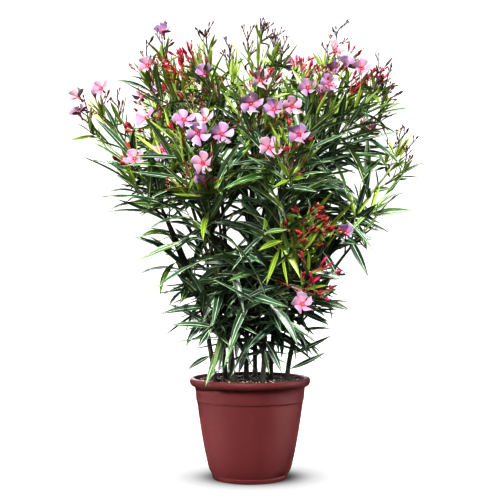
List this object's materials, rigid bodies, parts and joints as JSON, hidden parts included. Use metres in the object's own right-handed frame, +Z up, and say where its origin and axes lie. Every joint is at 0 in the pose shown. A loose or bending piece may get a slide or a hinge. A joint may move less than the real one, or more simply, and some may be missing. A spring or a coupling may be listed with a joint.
{
  "type": "potted oleander",
  "caption": "Flowering patio shrub with slender stems, narrow leaves and pink blossom, growing in a round tapered plastic pot with a wide lip.",
  "frame": {"origin": "centre of the pot's flat underside, on the surface it stands on", "axes": "+Z up along the pot's axis; +X to the right and -Y towards the viewer in the picture's view"},
  "size_m": [0.7193, 0.5632, 0.9291],
  "materials": {
    "pot": "satin",
    "soil": "matte",
    "bark": "matte",
    "foliage": "satin"
  },
  "bodies": {
    "root": {"pot": "pot", "soil": "soil", "stem_far_left": "bark", "stem_left_top": "bark", "stem_inner_left": "bark", "stem_centre_top": "bark", "stem_right_top": "bark", "stem_far_right": "bark", "stem_front_left": "bark", "stem_front_right": "bark", "stem_back": "bark", "bough_left_front": "bark", "bough_left_back": "bark", "bough_low_centre": "bark", "bough_high_front": "bark", "bough_inner_right": "bark", "bough_far_right_top": "bark", "bough_right_back": "bark", "bough_right_low": "bark", "bough_low_truss": "bark", "bough_back_left_top": "bark", "bough_back_right_top": "bark", "leaves_far_left": "foliage", "leaves_left_top": "foliage", "leaves_inner_left": "foliage", "leaves_centre_top": "foliage", "leaves_right_top": "foliage", "leaves_far_right": "foliage", "leaves_front_left": "foliage", "leaves_front_right": "foliage", "leaves_back": "foliage", "leaves_left_front": "foliage", "leaves_left_back": "foliage", "leaves_low_centre": "foliage", "leaves_high_front": "foliage", "leaves_inner_right": "foliage", "leaves_far_right_top": "foliage", "leaves_right_back": "foliage", "leaves_right_low": "foliage", "leaves_low_truss": "foliage", "leaves_back_left_top": "foliage", "leaves_back_right_top": "foliage", "leaves_low_1": "foliage", "leaves_low_2": "foliage", "leaves_low_3": "foliage", "leaves_low_4": "foliage", "leaves_low_5": "foliage", "leaves_low_6": "foliage", "leaves_middle_1": "foliage", "leaves_middle_2": "foliage", "leaves_middle_3": "foliage", "leaves_middle_4": "foliage", "leaves_middle_5": "foliage", "leaves_middle_6": "foliage", "leaves_inner_1": "foliage", "leaves_inner_2": "foliage", "leaves_inner_3": "foliage", "leaves_inner_4": "foliage", "leaves_inner_5": "foliage"}
  },
  "joints": []
}
